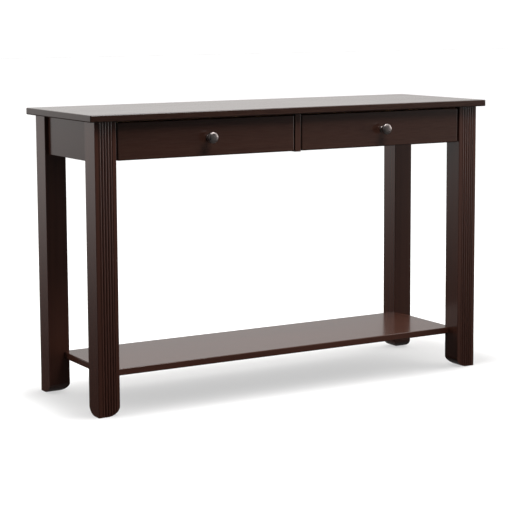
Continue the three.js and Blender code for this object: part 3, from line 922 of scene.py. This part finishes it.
@dataclass
class Leg:
    """A square post whose foot curves up on its two inner sides. The front ones are reeded."""

    side: Side
    end: End
    corner_radius: float = 1.5 * MM
    corner_facets: int = 4
    reeds: int = 5
    reed_width: float = 7.6 * MM
    reed_depth: float = 3 * MM
    reed_facets: int = 12
    foot_run: float = 34 * MM
    foot_rise: float = 27 * MM
    foot_facets: int = 96

    @property
    def node(self) -> str:
        """The node that the leg stands for."""
        return f"{self.end.word}_{self.side.word}_leg"

    def section(self, low: Vector, high: Vector) -> Workpiece:
        """Makes the post's section as a flat face on the floor.

        Args:
            low: the post's lowest corner.
            high: its highest corner.

        Returns:
            The face, its corners rounded and its front reeded where the leg has reeds.
        """
        Workpiece.clear_bench()
        middle = (low + high) / 2
        bpy.ops.mesh.primitive_plane_add(size=1, location=(middle.x, middle.y, low.z))
        bpy.ops.transform.resize(value=(high.x - low.x, high.y - low.y, 1))
        piece = Workpiece(self.node, bpy.context.object)
        piece.edit("VERT")
        bpy.ops.mesh.select_all(action="SELECT")
        bpy.ops.mesh.bevel(offset=self.corner_radius, segments=self.corner_facets,
                           affect="VERTICES")
        if self.end is End.FRONT:
            self.cut_reeds(piece, middle.x, low.y)
        return piece

    def reed_line(self, middle: float, front: float) -> list[Pair]:
        """Gives the points that the section's front runs through between its plain margins.

        Args:
            middle: the X of the leg's axis.
            front: the Y of the crowns.

        Returns:
            Pairs of X and Y, from left to right.
        """
        bead = (self.reed_width ** 2 / 4 + self.reed_depth ** 2) / (2 * self.reed_depth)
        opening = math.asin(self.reed_width / 2 / bead)
        first = middle - self.reeds * self.reed_width / 2
        points = [(first, front)]
        for index in range(self.reeds * self.reed_facets + 1):
            reed, facet = divmod(index, self.reed_facets)
            angle = opening * (2 * facet / self.reed_facets - 1)
            crown = first + (reed + 0.5) * self.reed_width
            points.append((crown + bead * math.sin(angle), front + bead * (1 - math.cos(angle))))
        points.append((2 * middle - first, front))
        return points

    def cut_reeds(self, piece: Workpiece, middle: float, front: float) -> None:
        """Divides the front edge of the section and draws the beads in it.

        Args:
            piece: the section.
            middle: the X of the leg's axis.
            front: the Y of the crowns.
        """
        points = self.reed_line(middle, front)
        piece.pick_edges(lambda a, b: max(a.y, b.y) < front + NEAR)
        bpy.ops.mesh.subdivide(number_cuts=len(points))
        mesh = bmesh.from_edit_mesh(piece.thing.data)
        line = sorted((v for v in mesh.verts if v.co.y < front + NEAR), key=lambda v: v.co.x)
        if len(line) != len(points) + 2:
            raise ValueError(f"{self.node}: {len(points)} points need {len(points) + 2} vertices, "
                             f"but there are {len(line)}")
        for vertex, (x, y) in zip(line[1:-1], points):
            vertex.co.x, vertex.co.y = x, y
        piece.close()

    def foot_waste(self, along: Grain, low: Vector, high: Vector) -> Workpiece:
        """Makes what the band saw takes off under one inner side of the foot.

        Args:
            along: the axis across the foot that the curve rises along.
            low: the post's lowest corner.
            high: its highest corner.

        Returns:
            The waste, a little wider than the post.
        """
        spare = 2 * MM
        inner = Vector((low.x if self.side is Side.RIGHT else high.x,
                        high.y if self.end is End.FRONT else low.y, low.z))
        outwards = Vector((self.side.value, self.end.value, 0))
        across = Grain.ALONG_Y if along is Grain.ALONG_X else Grain.ALONG_X
        near, far = inner.copy(), inner.copy()
        near[along.value] -= spare * outwards[along.value]
        far[along.value] += self.foot_run * outwards[along.value]
        near[across.value] = low[across.value] - spare
        far[across.value] = high[across.value] + spare
        near.z, far.z = low.z - spare, low.z + self.foot_rise
        waste = Workpiece.block("waste", Vector(map(min, near, far)), Vector(map(max, near, far)))
        start = far.copy()
        start[across.value] = low[across.value] - 2 * spare
        if along is Grain.ALONG_X:
            facing, radius = Facing.FRONT, (self.foot_run, self.foot_rise)
            start.y = high.y + 2 * spare
        else:      # turned to the right, a rod has the first of its half widths upright
            facing, radius = Facing.RIGHT, (self.foot_rise, self.foot_run)
        length = high[across.value] - low[across.value] + 4 * spare
        curve = Workpiece.rod("curve", start, facing, radius, length, self.foot_facets)
        return waste.combine(curve, Joining.CUT)

    def build(self) -> Workpiece:
        """Makes the leg, without dressing it.

        Returns:
            The leg.
        """
        low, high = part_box(self.node)
        piece = self.section(low, high)
        piece.edit("FACE")
        bpy.ops.mesh.select_all(action="SELECT")
        rise = (0, 0, high.z - low.z)
        bpy.ops.mesh.extrude_region_move(TRANSFORM_OT_translate={"value": rise})
        piece.close()
        piece.true_normals()
        for along in (Grain.ALONG_X, Grain.ALONG_Y):
            piece.combine(self.foot_waste(along, low, high), Joining.CUT)
        rails = [TOP_RAIL, BOTTOM_RAIL] if self.end is End.FRONT else [REAR_APRON]
        for board in (SIDE_APRON, *rails):
            piece.cut_block(*board.tenons(), spare=FIT)
        return piece.cut_block(*LowerShelf().tenon(self.side, self.end), spare=FIT)


@dataclass
class ApronFrame:
    """The boards under the top: aprons, rails, the stile between the drawers and the partition."""

    stile_radius: float = 1.5 * MM
    stile_facets: int = 4
    block_radius: float = 0.8 * MM
    block_facets: int = 2

    def build(self) -> None:
        """Makes and dresses the frame."""
        SIDE_APRON.build().finish_pair(APRON_LACQUER_SHADED, Grain.ALONG_Y)
        rear = REAR_APRON.build().cut_block(*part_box("centre_partition"), spare=FIT)
        rear.finish(FRAME_LACQUER_SHADED, Body.TABLE)
        BOTTOM_RAIL.build().finish(FRAME_LACQUER_SHADED, Body.TABLE)
        top_rail = TOP_RAIL.build()
        for side in Side:
            top_rail.combine(WoodScrew(f"{side.word}_rail_screw", Facing.UP).hole(), Joining.CUT)
        top_rail.finish(BARE_HARDWOOD, Body.TABLE)
        self.stile().finish(FRAME_LACQUER_SHADED, Body.TABLE, grain=Grain.ALONG_Z)
        self.partition().finish(BARE_HARDWOOD, Body.TABLE, grain=Grain.ALONG_Y)
        for end in End:
            self.corner_block(end).finish_pair(BARE_HARDWOOD)
            for side in (Side.RIGHT, Side.LEFT):
                WoodScrew(f"{end.word}_{side.word}_block_screw", Facing.UP).build()
        for side in Side:
            WoodScrew(f"{side.word}_rail_screw", Facing.UP).build()

    def stile(self) -> Workpiece:
        """Makes the stile, with the tongue that reaches back between the rails.

        Returns:
            The stile.
        """
        low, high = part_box("centre_stile")
        rail_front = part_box("front_top_rail")[0].y
        piece = Workpiece.block("centre_stile", low, (high.x, rail_front, high.z))
        piece.ease(lambda a, b: max(a.y, b.y) < low.y + NEAR, self.stile_radius, self.stile_facets)
        return piece.join_block((low.x, rail_front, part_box("front_bottom_rail")[1].z),
                                (high.x, high.y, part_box("front_top_rail")[0].z))

    def partition(self) -> Workpiece:
        """Makes the partition, with the nose that is held between the rails.

        Returns:
            The partition.
        """
        low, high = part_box("centre_partition")
        rail_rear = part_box("front_top_rail")[1].y
        piece = Workpiece.block("centre_partition", (low.x, rail_rear, low.z), high)
        piece.ease(every_edge, self.block_radius, self.block_facets)
        piece.join_block((low.x, low.y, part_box("front_bottom_rail")[1].z),
                         (high.x, rail_rear + self.block_radius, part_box("front_top_rail")[0].z))
        return Runners.drill(piece, "centre")

    def corner_block(self, end: End) -> Workpiece:
        """Makes the three-cornered block behind one right-hand leg.

        Args:
            end: the leg's end.

        Returns:
            The block.
        """
        node = f"{end.word}_{Side.RIGHT.word}_corner_block"
        low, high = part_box(node)
        piece = Workpiece.block(node, low, high)
        piece.edit("FACE")
        bpy.ops.mesh.select_all(action="SELECT")
        bpy.ops.mesh.bisect(plane_co=(low + high) / 2, plane_no=(-1, -end.value, 0),
                            use_fill=True, clear_outer=True)
        piece.close()
        piece.ease(every_edge, self.block_radius, self.block_facets)
        screw = WoodScrew(f"{end.word}_{Side.RIGHT.word}_block_screw", Facing.UP)
        return piece.combine(screw.hole(), Joining.CUT)


@dataclass
class WoodScrew:
    """A countersunk screw with a cross in its head, lying where its node does."""

    node: str
    facing: Facing
    body: Body = Body.TABLE
    shank_radius: float = 2 * MM
    head_height: float = 2.5 * MM
    point_length: float = 4 * MM
    cross_width: float = 1 * MM
    cross_length: float = 4.6 * MM
    cross_depth: float = 1.4 * MM
    facets: int = 24

    @property
    def axis(self) -> int:
        """The index of the axis that the screw lies along."""
        return max(range(3), key=lambda index: abs(self.facing.value[index]))

    @property
    def foot(self) -> Vector:
        """The middle of the head's outer face.

        Returns:
            The point.
        """
        low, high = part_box(self.node)
        length = high[self.axis] - low[self.axis]
        return (low + high) / 2 - Vector(self.facing.value) * length / 2

    def shape(self, name: str, spare: float) -> Workpiece:
        """Turns the screw, or with some play the hole that takes it, open above the head.

        Args:
            name: the name of the piece.
            spare: the play all round.

        Returns:
            The piece, in its place.
        """
        low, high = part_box(self.node)
        length = high[self.axis] - low[self.axis]
        head_radius = (high[self.axis - 1] - low[self.axis - 1]) / 2
        profile = [
            (head_radius + spare, -spare), (head_radius + spare, 0),
            (self.shank_radius + spare, self.head_height),
            (self.shank_radius + spare, length + spare - self.point_length), (0, length + spare),
        ]
        if not spare:
            profile = profile[1:]
        return Workpiece.turned(name, profile, self.foot, self.facing, self.facets)

    def hole(self) -> Workpiece:
        """Makes the countersunk hole as a solid to cut with."""
        return self.shape("hole", FIT)

    def build(self) -> None:
        """Makes and dresses the screw."""
        piece = self.shape(self.node, 0)
        for arm in (1, 2):
            half = Vector([self.cross_width / 2] * 3)
            half[self.axis] = self.cross_depth
            half[(self.axis + arm) % 3] = self.cross_length / 2
            piece.cut_block(self.foot - half, self.foot + half)
        piece.finish(ZINC, self.body)


@dataclass
class Runners:
    """The strips that the drawers slide on, screwed to the legs and to the partition."""

    radius: float = 1.2 * MM

    @staticmethod
    def screws(part: str) -> list[WoodScrew]:
        """Lists the screws that go through one strip, or through the partition.

        Args:
            part: the strip, such as left_inner, or centre for the partition.

        Returns:
            The screws.
        """
        places = ["left_inner", "right_inner"] if part == "centre" else [part]
        facings = {"left_outer": Facing.LEFT, "left_inner": Facing.RIGHT,
                   "right_inner": Facing.LEFT, "right_outer": Facing.RIGHT}
        return [WoodScrew(f"{place}_runner_{end.word}_screw", facings[place])
                for place in places for end in End]

    @staticmethod
    def drill(piece: Workpiece, part: str) -> Workpiece:
        """Drills a strip or the partition for its screws.

        Args:
            piece: the strip or the partition.
            part: what it is, as for screws.

        Returns:
            The piece.
        """
        for screw in Runners.screws(part):
            piece.combine(screw.hole(), Joining.CUT)
        return piece

    def build(self) -> None:
        """Makes and dresses the four runners and their screws."""
        for side in Side:
            for place in ("outer", "inner"):
                part = f"{side.word}_{place}"
                strip = sawn_board(f"{part}_runner", self.radius)
                self.drill(strip, part).finish(BARE_HARDWOOD, Body.TABLE, grain=Grain.ALONG_Y)
                for screw in self.screws(part):
                    screw.build()


# ---- Drawers ---------------------------------------------------------------------------------


@dataclass
class Drawer:
    """A drawer: a lacquered front housed over a box of bare boards, with a stop behind."""

    front_radius: float = 3 * MM
    front_facets: int = 8
    board_radius: float = 1.2 * MM
    bottom_radius: float = 0.4 * MM
    groove_over: float = 0.3 * MM
    groove_under: float = 0.7 * MM
    groove_beside: float = 0.5 * MM

    def node(self, part: str) -> str:
        """Names a node of the right-hand drawer."""
        return f"{Side.RIGHT.word}_drawer_{part}"

    def build(self) -> None:
        """Makes the right-hand drawer and its mirror image on the left."""
        bodies = (Body.LEFT_DRAWER, Body.RIGHT_DRAWER)
        front = sawn_board(self.node("front"), self.front_radius, self.front_facets)
        for part in ("outer_side", "inner_side", "bottom"):
            front.cut_block(*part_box(self.node(part)), spare=FIT)
        front.finish_pair(FRONT_LACQUER_SHADED, bodies=bodies)
        for place in ("outer", "inner"):
            self.side_board(place).finish_pair(BARE_HARDWOOD, Grain.ALONG_Y, bodies)
        sawn_board(self.node("back"), self.board_radius).finish_pair(BARE_HARDWOOD, bodies=bodies)
        sawn_board(self.node("bottom"), self.bottom_radius).finish_pair(PLYWOOD, bodies=bodies)
        stop = sawn_board(self.node("stop"), self.board_radius)
        stop.combine(WoodScrew("right_stop_screw", Facing.FRONT).hole(), Joining.CUT)
        stop.finish_pair(BARE_HARDWOOD, bodies=bodies)
        for side, body in zip(Side, bodies):
            WoodScrew(f"{side.word}_stop_screw", Facing.FRONT, body).build()
        Knob().build(bodies)

    def side_board(self, place: str) -> Workpiece:
        """Makes one side, grooved for its runner, the bottom and the back.

        Args:
            place: outer or inner.

        Returns:
            The side.
        """
        side = sawn_board(self.node(f"{place}_side"), self.board_radius)
        low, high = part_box(f"{Side.RIGHT.word}_{place}_runner")
        low -= Vector((self.groove_beside, self.groove_beside, self.groove_under))
        high += Vector((self.groove_beside, self.groove_beside, self.groove_over))
        side.cut_block(low, high)
        for part in ("bottom", "back"):
            side.cut_block(*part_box(self.node(part)), spare=FIT)
        return side


@dataclass
class Knob:
    """A turned mushroom knob with its machine screw.

    The screw head's profile is in shares of its radius and height, and so are the reach and the
    depth of the slot in it.
    """

    foot_radius: float = 7.5 * MM
    foot_chamfer: float = 0.4 * MM
    foot_height: float = 2 * MM
    neck_radius: float = 4.8 * MM
    neck_height: float = 10 * MM
    under_head: float = 16 * MM
    rim_height: float = 22 * MM
    shoulder: float = 26.5 * MM
    crown_radius: float = 13 * MM
    curve_points: int = 14
    facets: int = 96
    screw_head_height: float = 2.5 * MM
    screw_head: tuple[Pair, ...] = ((0.35, 0.0), (0.75, 0.2), (1.0, 0.6), (1.0, 1.0))
    screw_facets: int = 32
    slot_width: float = 1 * MM
    slot_reach: float = 1.1
    slot_depth: float = 0.45

    @staticmethod
    def measure(node: str) -> tuple[Vector, float, float]:
        """Measures a turned node that faces the front.

        Args:
            node: the node.

        Returns:
            The middle of its rear, its radius and its length.
        """
        low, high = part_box(node)
        middle = (low + high) / 2
        return Vector((middle.x, high.y, middle.z)), (high.x - low.x) / 2, high.y - low.y

    def curve(self, *handles: Pair) -> list[Pair]:
        """Gives the points of a Bezier curve after its first.

        Args:
            handles: its start, its handles and its end.

        Returns:
            The points.
        """
        points = []
        for step in range(1, self.curve_points + 1):
            share = step / self.curve_points
            line = [Vector(handle) for handle in handles]
            while len(line) > 1:
                line = [a.lerp(b, share) for a, b in zip(line, line[1:])]
            points.append((line[0].x, line[0].y))
        return points

    def profile(self, radius: float, length: float) -> list[Pair]:
        """Gives the knob's profile from its foot to its crown.

        Args:
            radius: the radius of its head.
            length: how far it stands out.

        Returns:
            Pairs of radius and height.
        """
        flare = (self.foot_radius, self.foot_height)
        neck = (self.neck_radius, self.neck_height)
        rim = (radius, self.rim_height)
        points = [(self.foot_radius - self.foot_chamfer, 0),
                  (self.foot_radius, self.foot_chamfer), flare]
        points += self.curve(flare, (self.neck_radius, self.foot_height), neck)
        points += self.curve(neck, (self.neck_radius, self.under_head),
                             (radius, self.under_head), rim)
        points += self.curve(rim, (radius, self.shoulder), (self.crown_radius, length), (0, length))
        return points

    def build(self, bodies: tuple[Body, Body]) -> None:
        """Makes and dresses both knobs and their screws.

        Args:
            bodies: the left and the right drawer.
        """
        node = f"{Side.RIGHT.word}_knob"
        foot, radius, length = self.measure(node)
        profile = self.profile(radius, length)
        knob = Workpiece.turned(node, profile, foot, Facing.FRONT, self.facets)
        knob.finish_pair(GUNMETAL, bodies=bodies)
        self.screw().finish_pair(ZINC, bodies=bodies)

    def screw(self) -> Workpiece:
        """Makes the right-hand knob's screw, with its round head and straight slot.

        Returns:
            The screw.
        """
        node = f"{Side.RIGHT.word}_knob_screw"
        foot, head, length = self.measure(node)
        shank = head / 2
        profile = [(head * across, self.screw_head_height * rise)
                   for across, rise in self.screw_head]
        profile += [(shank, self.screw_head_height), (shank, length - shank / 2), (0, length)]
        piece = Workpiece.turned(node, profile, foot, Facing.FRONT, self.screw_facets)
        half = Vector((self.slot_reach * head, self.slot_depth * self.screw_head_height,
                       self.slot_width / 2))
        return piece.cut_block(foot - half, foot + half)


# ---- Studio ----------------------------------------------------------------------------------


class Lit(Enum):
    """What a lamp may light."""

    TABLE = "EXCLUDE"
    FLOOR = "INCLUDE"


@dataclass(frozen=True)
class Lamp:
    """A square soft box. Glossy pieces show it only where it is mirrored."""

    name: str
    place: Vector
    aim: Vector
    size: float
    watts: float
    spread: float = 180.0
    lights: Lit = Lit.TABLE
    mirrored: bool = False

    def hang(self, floor: bpy.types.Object) -> None:
        """Hangs the lamp.

        Args:
            floor: the floor, which it either lights alone or is kept off.
        """
        data = bpy.data.lights.new(self.name, "AREA")
        data.shape = "SQUARE"
        data.size = self.size
        data.energy = self.watts
        data.spread = math.radians(self.spread)
        lamp = bpy.data.objects.new(self.name, data)
        lamp.location = self.place
        lamp.rotation_euler = (self.aim - self.place).to_track_quat("-Z", "Y").to_euler()
        lamp.visible_glossy = self.mirrored
        bpy.context.scene.collection.objects.link(lamp)
        linked = bpy.data.collections.new(f"{self.name}_link")
        linked.objects.link(floor)
        linked.collection_objects[0].light_linking.link_state = self.lights.value
        lamp.light_linking.receiver_collection = linked


@dataclass(frozen=True)
class Card:
    """A soft-edged patch of the surroundings that is darker or brighter than the rest.

    The edge is where it starts and where it is full, as the cosine of the angle from its way.
    The level is what the light from there is multiplied by.
    """

    name: str
    way: Vector
    edge: Pair
    level: float


@dataclass
class Studio:
    """The camera, the pale floor with its sweep, the lamps and what surrounds them.

    The horizon pairs the height of a direction, from -1 down to 1 up, with its brightness.
    Everything at and above the last height is as bright as there.
    """

    camera_place: tuple[float, float, float] = (-2.2772, -3.8341, 1.0131)
    camera_turn: tuple[float, float, float] = (-30.4288, -6.7747, 0.3018)
    camera_shift: float = -0.0996
    lens: float = 114.845
    floor_size: float = 60.0
    sweep_height: float = 30.0
    floor_tone: float = 0.35
    floor_roughness: float = 0.9
    floor_glow: float = 0.53
    far_glow: float = 0.68
    glow_edge: Pair = (1.0, 2.6)
    sweep_glow: float = 0.36
    sweep_edge: Pair = (0.0, 0.02)
    lamps: tuple[Lamp, ...] = (
        Lamp("key", Vector((0.35, -1.08, 2.4)), Vector((0.0, -0.18, 0.95)), size=1.1, watts=17,
             spread=90, mirrored=True),
        Lamp("side", Vector((-3.2, 1.6, 0.95)), Vector((-0.3, 0, 0.95)), size=1.0, watts=4.2,
             spread=50),
        Lamp("right", Vector((2.3, -0.95, 0.85)), Vector((0.5, -0.18, 0.75)), size=0.4,
             watts=0.8, spread=50),
        Lamp("overhead", Vector((-0.2, -0.12, 5)), ORIGIN, size=0.9, watts=450, lights=Lit.FLOOR),
    )
    horizon: tuple[Pair, ...] = (
        (-1.0, 0.10), (-0.42, 0.10), (-0.27, 0.02), (-0.23, 0.02), (-0.196, 0.065),
        (-0.165, 0.17), (-0.136, 0.38), (-0.1045, 0.68), (-0.073, 0.86), (-0.03, 0.92),
        (0.05, 1.03), (0.2, 0.63), (0.4, 0.57),
    )
    cards: tuple[Card, ...] = (
        Card("front flag", Vector((0.20, -0.923, 0.33)), (0.68, 0.93), 0.04),
        Card("left front flag", Vector((-0.80, -0.60, 0.0)), (0.40, 0.85), 0.25),
        Card("right glare", Vector((0.85, -0.20, 0.45)), (0.78, 0.90), 5.0),
        Card("right rear glare", Vector((0.906, 0.423, 0.10)), (0.90, 0.97), 7.0),
        Card("low left flag", Vector((-0.70, 0.44, -0.56)), (0.80, 0.87), 0.2),
        Card("back right flag", Vector((0.87, 0.27, 0.40)), (0.70, 0.88), 0.7),
    )
    sky_rise: Pair = (0.22, 0.5)
    sky_depth: Pair = (-0.1, 0.4)
    sky_level: float = 1.1
    warmth: Colour = (1.0, 0.985, 0.97)

    def build(self) -> None:
        """Sets up everything that isn't the table."""
        self.place_camera()
        floor = self.lay_floor()
        for lamp in self.lamps:
            lamp.hang(floor)
        self.paint_surroundings()

    def place_camera(self) -> None:
        """Places the camera. Its turn is heading, pitch and roll in degrees."""
        heading, pitch, roll = (math.radians(angle) for angle in self.camera_turn)
        data = bpy.data.cameras.new("camera")
        data.lens = self.lens
        data.shift_y = self.camera_shift
        camera = bpy.data.objects.new("camera", data)
        level = Matrix.Rotation(math.pi / 2, 4, "X")
        turn = Matrix.Rotation(heading, 4, "Z") @ Matrix.Rotation(pitch, 4, "X")
        camera.matrix_world = (Matrix.Translation(Vector(self.camera_place)) @ turn
                               @ Matrix.Rotation(roll, 4, "Y") @ level)
        bpy.context.scene.collection.objects.link(camera)
        bpy.context.scene.camera = camera

    def lay_floor(self) -> bpy.types.Object:
        """Lays a wide pale floor that turns up into a sweep, and that the table doesn't mirror.

        It glows a little, and more so far from the table and up the sweep.

        Returns:
            The floor.
        """
        Workpiece.clear_bench()
        bpy.ops.mesh.primitive_plane_add(size=self.floor_size, location=ORIGIN)
        floor = bpy.context.object
        floor.name = "floor"
        bpy.ops.object.mode_set(mode="EDIT")
        bpy.ops.mesh.select_mode(type="EDGE")
        bpy.ops.mesh.select_all(action="SELECT")
        bpy.ops.mesh.extrude_edges_move(TRANSFORM_OT_translate={"value": (0, 0, self.sweep_height)})
        bpy.ops.object.mode_set(mode="OBJECT")
        material = bpy.data.materials.new("pale_floor")
        material.use_nodes = True
        wiring = Wiring(material.node_tree)
        shader = wiring.add("BsdfPrincipled", {
            "Base Color": (self.floor_tone, self.floor_tone, self.floor_tone, 1),
            "Roughness": self.floor_roughness, "Specular IOR Level": 0.0,
            "Emission Color": (1, 1, 1, 1),
        })
        place = wiring.add("TexCoord")
        reach = wiring.add("VectorMath", operation="LENGTH")
        wiring.wire(place.outputs["Object"], reach, 0)
        near = wiring.ramp(reach.outputs["Value"], *self.glow_edge, self.floor_glow, self.far_glow)
        split = wiring.add("SeparateXYZ")
        wiring.wire(place.outputs["Object"], split, 0)
        sweep = wiring.ramp(split.outputs["Z"], *self.sweep_edge, 0.0, self.sweep_glow)
        glow = wiring.math("ADD", near, sweep)
        wiring.wire(glow, shader, "Emission Strength")
        output = wiring.add("OutputMaterial")
        wiring.wire(shader.outputs[0], output, "Surface")
        floor.data.materials.append(material)
        floor.visible_glossy = False
        floor.visible_diffuse = False
        floor.visible_shadow = False
        return floor

    def paint_surroundings(self) -> None:
        """Paints the surroundings: a bright horizon, the cards and a pale sky behind the table."""
        world = bpy.data.worlds.new("surroundings")
        bpy.context.scene.world = world
        world.use_nodes = True
        wiring = Wiring(world.node_tree)
        way = wiring.add("TexCoord")
        split = wiring.add("SeparateXYZ")
        wiring.wire(way.outputs["Generated"], split, 0)

        low, high = self.horizon[0][0], self.horizon[-1][0]
        ramp = wiring.add("ValToRGB")
        stops = ramp.color_ramp.elements
        while len(stops) < len(self.horizon):
            stops.new(0.5)
        for stop, (height, brightness) in zip(stops, self.horizon):
            stop.position = (height - low) / (high - low)
            stop.color = (brightness, brightness, brightness, 1)
        rise = wiring.math("DIVIDE", wiring.math("SUBTRACT", split.outputs["Z"], low), high - low)
        wiring.wire(rise, ramp, 0)

        level = ramp.outputs["Color"]
        for card in self.cards:
            facing = wiring.add("VectorMath", operation="DOT_PRODUCT", label=card.name)
            wiring.wire(way.outputs["Generated"], facing, 0)
            facing.inputs[1].default_value = card.way
            change = wiring.ramp(facing.outputs["Value"], *card.edge, 1.0, card.level)
            level = wiring.math("MULTIPLY", level, change)
        high_up = wiring.ramp(split.outputs["Z"], *self.sky_rise, 0.0, self.sky_level)
        behind = wiring.ramp(split.outputs["Y"], *self.sky_depth)
        level = wiring.math("ADD", level, wiring.math("MULTIPLY", high_up, behind))
        background = wiring.add("Background", {"Color": (*self.warmth, 1)})
        wiring.wire(level, background, "Strength")
        output = wiring.add("OutputWorld")
        wiring.wire(background.outputs[0], output, "Surface")
        bpy.context.scene.view_settings.view_transform = "Standard"


# ---- Main ------------------------------------------------------------------------------------


def main() -> None:
    """Builds the studio and the table."""
    Studio().build()
    TableTop().build()
    LowerShelf().build()
    for end in End:
        Leg(Side.RIGHT, end).build().finish_pair(LEG_LACQUER, Grain.ALONG_Z)
    ApronFrame().build()
    Runners().build()
    Drawer().build()


if __name__ == "__main__":
    main()
